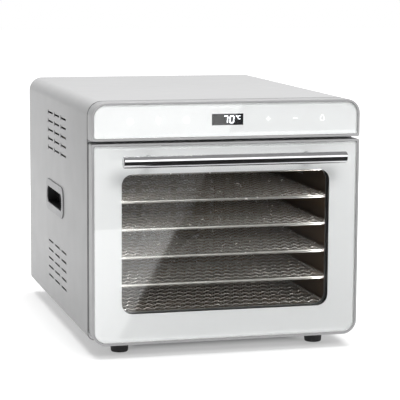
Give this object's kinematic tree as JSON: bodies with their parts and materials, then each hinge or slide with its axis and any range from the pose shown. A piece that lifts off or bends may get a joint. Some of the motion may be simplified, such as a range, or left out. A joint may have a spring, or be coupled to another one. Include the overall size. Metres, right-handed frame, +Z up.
{
  "type": "food dehydrator",
  "caption": "Cabinet food dehydrator with a drop-down glass door, bar handle, touch panel, sliding wire trays, rear fan and ring heater, side louvres and carry grips.",
  "frame": {"origin": "middle of the footprint, on the surface the feet stand on", "axes": "+X to the right seen from the front, +Y from the front to the back, +Z up; the door and its handle face -Y"},
  "size_m": [0.3432, 0.494, 0.314],
  "materials": {
    "case_white": "satin pale coating",
    "steel_sheet": "plain folded sheet",
    "chamber_steel": "dark heat-stained steel",
    "bright_steel": "plain zinc or steel",
    "copper_coil": "enamelled copper wire",
    "board_green": "solder-masked board",
    "dark_parts": "moulded black plastic",
    "foot_rubber": "matte black rubber",
    "seal_rubber": "matte black silicone",
    "grip_metal": "satin grey",
    "frame_silver": "satin anodised",
    "pane_glass": "clear tempered glass",
    "white_print": "gloss white enamel behind glass",
    "display_black": "dark display window",
    "handle_chrome": "polished steel",
    "tray_wire": "bright stainless wire"
  },
  "bodies": {
    "cabinet": {"outer_case": "case_white", "base_panel": "steel_sheet", "back_panel": "case_white", "back_screws": "bright_steel", "front_frame": "steel_sheet", "chamber_liner": "chamber_steel", "rack_left": "chamber_steel", "rack_right": "chamber_steel", "rear_baffle": "chamber_steel", "heater_element": "bright_steel", "heater_clips": "bright_steel", "motor_stator": "bright_steel", "motor_coil": "copper_coil", "motor_bracket": "bright_steel", "thermal_cutout": "bright_steel", "temp_probe": "bright_steel", "electronics_shelf": "steel_sheet", "power_board": "board_green", "board_parts": "dark_parts", "wiring": "dark_parts", "power_inlet": "dark_parts", "inlet_pins": "bright_steel", "grip_plate_left": "grip_metal", "grip_plate_right": "grip_metal", "grip_cup_left": "dark_parts", "grip_cup_right": "dark_parts", "foot_front_left": "foot_rubber", "foot_front_right": "foot_rubber", "foot_rear_left": "foot_rubber", "foot_rear_right": "foot_rubber", "foot_screws": "bright_steel", "hinge_bracket_left": "bright_steel", "hinge_bracket_right": "bright_steel", "control_frame": "frame_silver", "panel_gasket": "seal_rubber", "control_glass": "pane_glass", "control_print": "white_print", "display_module": "display_black", "display_board": "board_green", "touch_contacts": "bright_steel"},
    "door": {"door_frame": "frame_silver", "door_glass": "pane_glass", "door_print": "white_print", "pane_spacer": "seal_rubber", "inner_glass": "pane_glass", "inner_panel": "steel_sheet", "door_seal": "seal_rubber", "hinge_blocks": "bright_steel", "hinge_pins": "bright_steel", "handle_bar": "handle_chrome", "handle_posts": "handle_chrome", "handle_screws": "bright_steel"},
    "fan": {"fan_wheel": "bright_steel", "motor_rotor": "bright_steel"},
    "tray_1_body": {"tray_1": "tray_wire"},
    "tray_2_body": {"tray_2": "tray_wire"},
    "tray_3_body": {"tray_3": "tray_wire"},
    "tray_4_body": {"tray_4": "tray_wire"},
    "tray_5_body": {"tray_5": "tray_wire"},
    "tray_6_body": {"tray_6": "tray_wire"}
  },
  "joints": [
    {"name": "door_hinge", "type": "hinge", "parent": "cabinet", "child": "door", "pos_m": [0, -0.187, 0.0225], "axis": [1, 0, 0], "range_deg": [0, 78]},
    {"name": "fan_spin", "type": "hinge", "parent": "cabinet", "child": "fan", "pos_m": [0, 0.191, 0.143], "axis": [0, 1, 0], "continuous": true},
    {"name": "tray_1_slide", "type": "slide", "parent": "cabinet", "child": "tray_1_body", "axis": [0, -1, 0], "range_m": [0, 0.069]},
    {"name": "tray_2_slide", "type": "slide", "parent": "cabinet", "child": "tray_2_body", "axis": [0, -1, 0], "range_m": [0, 0.116]},
    {"name": "tray_3_slide", "type": "slide", "parent": "cabinet", "child": "tray_3_body", "axis": [0, -1, 0], "range_m": [0, 0.157]},
    {"name": "tray_4_slide", "type": "slide", "parent": "cabinet", "child": "tray_4_body", "axis": [0, -1, 0], "range_m": [0, 0.198]},
    {"name": "tray_5_slide", "type": "slide", "parent": "cabinet", "child": "tray_5_body", "axis": [0, -1, 0], "range_m": [0, 0.239]},
    {"name": "tray_6_slide", "type": "slide", "parent": "cabinet", "child": "tray_6_body", "axis": [0, -1, 0], "range_m": [0, 0.28]}
  ],
  "couplings": [
    {"joint": "tray_1_slide", "follows": "door_hinge", "m_per_rad": 0.05},
    {"joint": "tray_2_slide", "follows": "door_hinge", "m_per_rad": 0.085},
    {"joint": "tray_3_slide", "follows": "door_hinge", "m_per_rad": 0.115},
    {"joint": "tray_4_slide", "follows": "door_hinge", "m_per_rad": 0.145},
    {"joint": "tray_5_slide", "follows": "door_hinge", "m_per_rad": 0.175},
    {"joint": "tray_6_slide", "follows": "door_hinge", "m_per_rad": 0.205}
  ]
}
